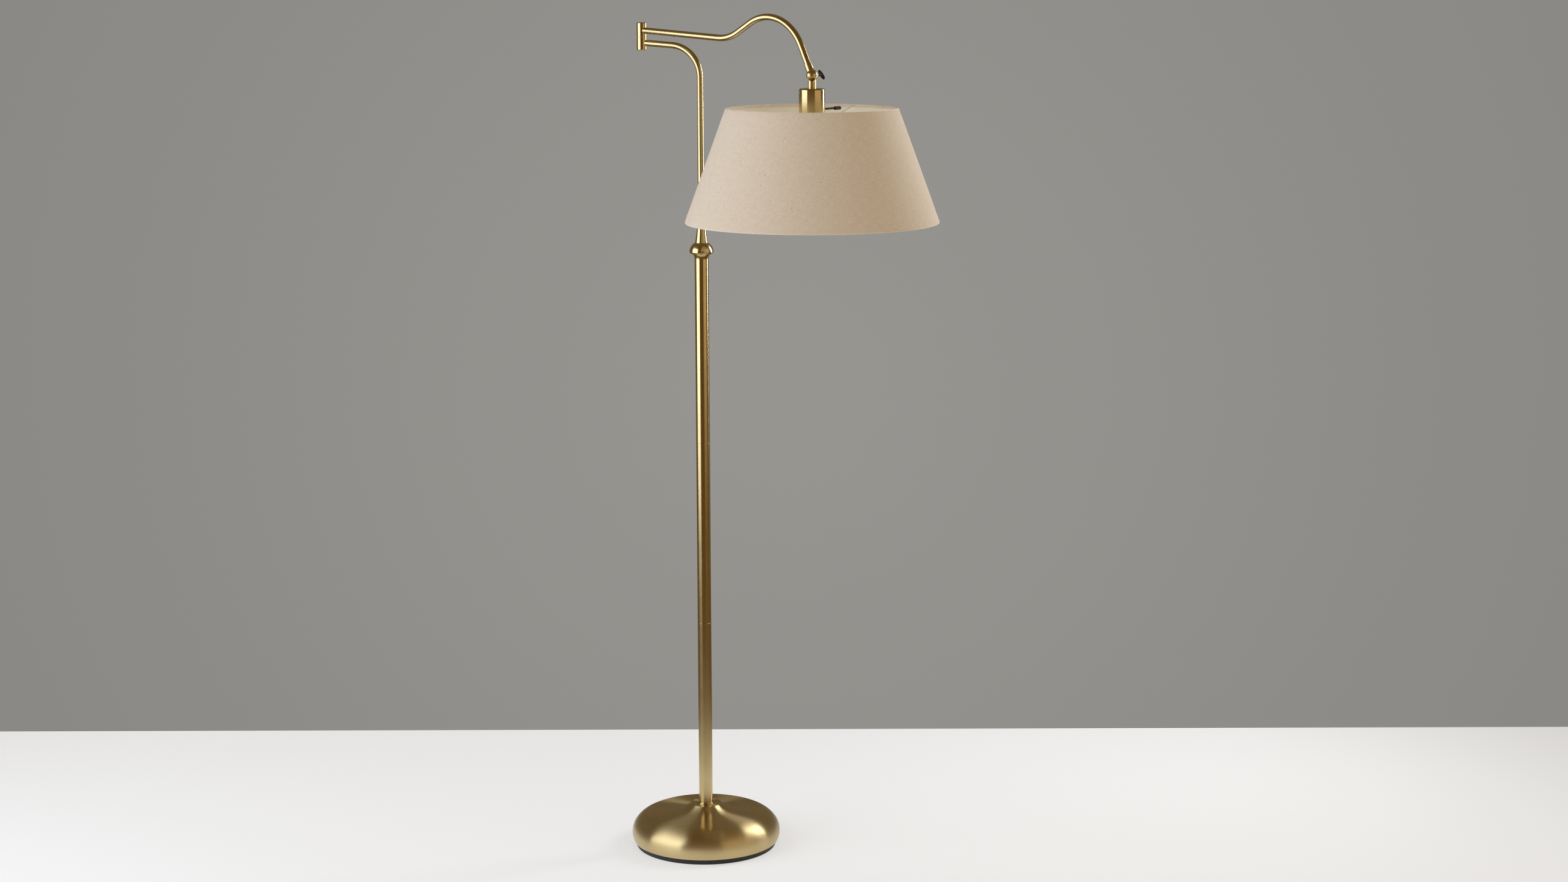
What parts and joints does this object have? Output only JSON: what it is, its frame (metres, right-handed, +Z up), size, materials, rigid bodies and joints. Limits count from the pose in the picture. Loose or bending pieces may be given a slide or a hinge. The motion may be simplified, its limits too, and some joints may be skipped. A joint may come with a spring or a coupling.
{
  "type": "floor lamp",
  "caption": "Bridge floor lamp: round weighted base, sectioned brass pole, thin bent post, swinging S-curved arm, tilting ball swivel and tapered drum shade.",
  "frame": {"origin": "centre of the base's flat underside, on the floor under the pole's axis", "axes": "+Z up along the pole, +X to the right and -Y towards the viewer as pictured"},
  "size_m": [0.5581, 0.6034, 1.5504],
  "materials": {
    "brass": "satin, lacquered",
    "cast_weight": "painted black",
    "felt": "felt",
    "black_rubber": "matte",
    "zinc_steel": "zinc plated",
    "nylon": "natural",
    "dark_bronze": "satin",
    "moulded_plastic": "moulded",
    "aluminium": "rolled",
    "frosted_glass": "frosted",
    "shade_cloth": "woven linen",
    "shade_liner": "matte",
    "white_wire": "powder coated"
  },
  "bodies": {
    "stand": {"base_shell": "brass", "base_weight": "cast_weight", "base_pad": "felt", "cord_bushing": "black_rubber", "base_washer": "zinc_steel", "base_nut": "zinc_steel", "base_nipple": "zinc_steel", "foot_insert": "zinc_steel", "pole_seat_ring": "brass", "lower_pole": "brass", "middle_pole": "brass", "upper_pole": "brass", "lower_coupler": "zinc_steel", "upper_coupler": "zinc_steel", "top_insert": "zinc_steel", "collar_nipple": "zinc_steel", "collar_cup": "brass", "collar_dome": "brass", "neck_cone": "brass", "post_tube": "brass", "lower_knuckle": "brass", "swing_pin": "zinc_steel", "swing_washer": "nylon", "wave_washer": "zinc_steel", "swing_nut": "zinc_steel"},
    "arm": {"upper_knuckle": "brass", "knuckle_cap": "brass", "arm_tube": "brass", "arm_swivel_half": "brass"},
    "thumbscrew": {"thumb_screw": "zinc_steel", "thumb_key": "dark_bronze"},
    "head": {"head_swivel_half": "brass", "thumb_washer": "brass", "socket_cup": "brass", "cup_nipple": "zinc_steel", "cup_nut": "zinc_steel", "socket_body": "moulded_plastic", "centre_contact": "brass", "screw_shell": "aluminium", "shade_ring_nut": "moulded_plastic", "bulb_cap": "aluminium", "bulb_glass": "frosted_glass", "shade_fabric": "shade_cloth", "shade_lining": "shade_liner", "top_hem": "shade_cloth", "bottom_hem": "shade_cloth", "top_ring": "white_wire", "bottom_ring": "white_wire", "shade_fitter": "white_wire", "spoke_1": "white_wire", "spoke_2": "white_wire", "spoke_3": "white_wire"},
    "switch": {"switch_stem": "dark_bronze", "switch_knob": "dark_bronze"}
  },
  "joints": [
    {"name": "arm_swing", "type": "hinge", "parent": "stand", "child": "arm", "pos_m": [-0.106, 0.04, 1.5052], "axis": [0, 0, 1], "range_deg": [-128, 172]},
    {"name": "head_tilt", "type": "hinge", "parent": "arm", "child": "head", "pos_m": [0.19863, -0.24407, 1.44741], "axis": [0.682, 0.7314, 0], "range_deg": [-60, 20]},
    {"name": "thumbscrew_turn", "type": "hinge", "parent": "arm", "child": "thumbscrew", "pos_m": [0.19863, -0.24407, 1.44741], "axis": [0.682, 0.7314, 0], "range_deg": [-20, 360]},
    {"name": "switch_turn", "type": "hinge", "parent": "head", "child": "switch", "pos_m": [0.19863, -0.24407, 1.38891], "axis": [0.682, 0.7314, 0], "continuous": true}
  ]
}
